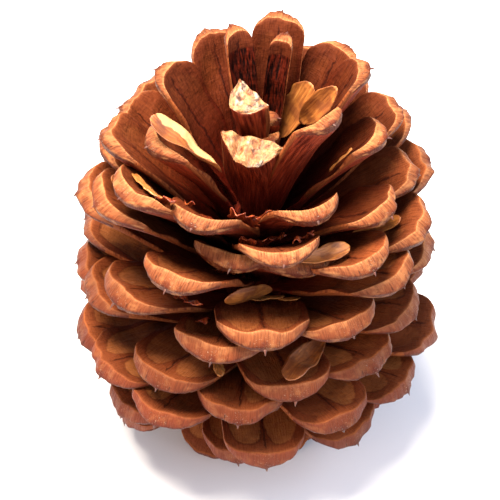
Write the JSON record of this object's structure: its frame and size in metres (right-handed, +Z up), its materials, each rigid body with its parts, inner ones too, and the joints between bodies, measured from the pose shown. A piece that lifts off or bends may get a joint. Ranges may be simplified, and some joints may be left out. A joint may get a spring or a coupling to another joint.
{
  "type": "pine cone",
  "caption": "Open pine cone that stands on its base: woody scales spiral up a central axis, with loose papery seed wings between them.",
  "frame": {"origin": "bottom centre of the bounding box, on the surface that the cone stands on", "axes": "+Z up along the cone's axis from its base to its tip, -Y towards the side seen in the picture"},
  "size_m": [0.0798, 0.0786, 0.0982],
  "materials": {
    "cone_wood": "dry woody scales, red-brown with tan ends, slightly glossy with resin",
    "seed_paper": "thin papery golden tan wing"
  },
  "bodies": {
    "root": {"cone": "cone_wood", "seed_wing_01": "seed_paper", "seed_wing_02": "seed_paper", "seed_wing_03": "seed_paper", "seed_wing_04": "seed_paper", "seed_wing_05": "seed_paper", "seed_wing_06": "seed_paper", "seed_wing_07": "seed_paper", "seed_wing_08": "seed_paper", "seed_wing_09": "seed_paper", "seed_wing_10": "seed_paper"}
  },
  "joints": []
}
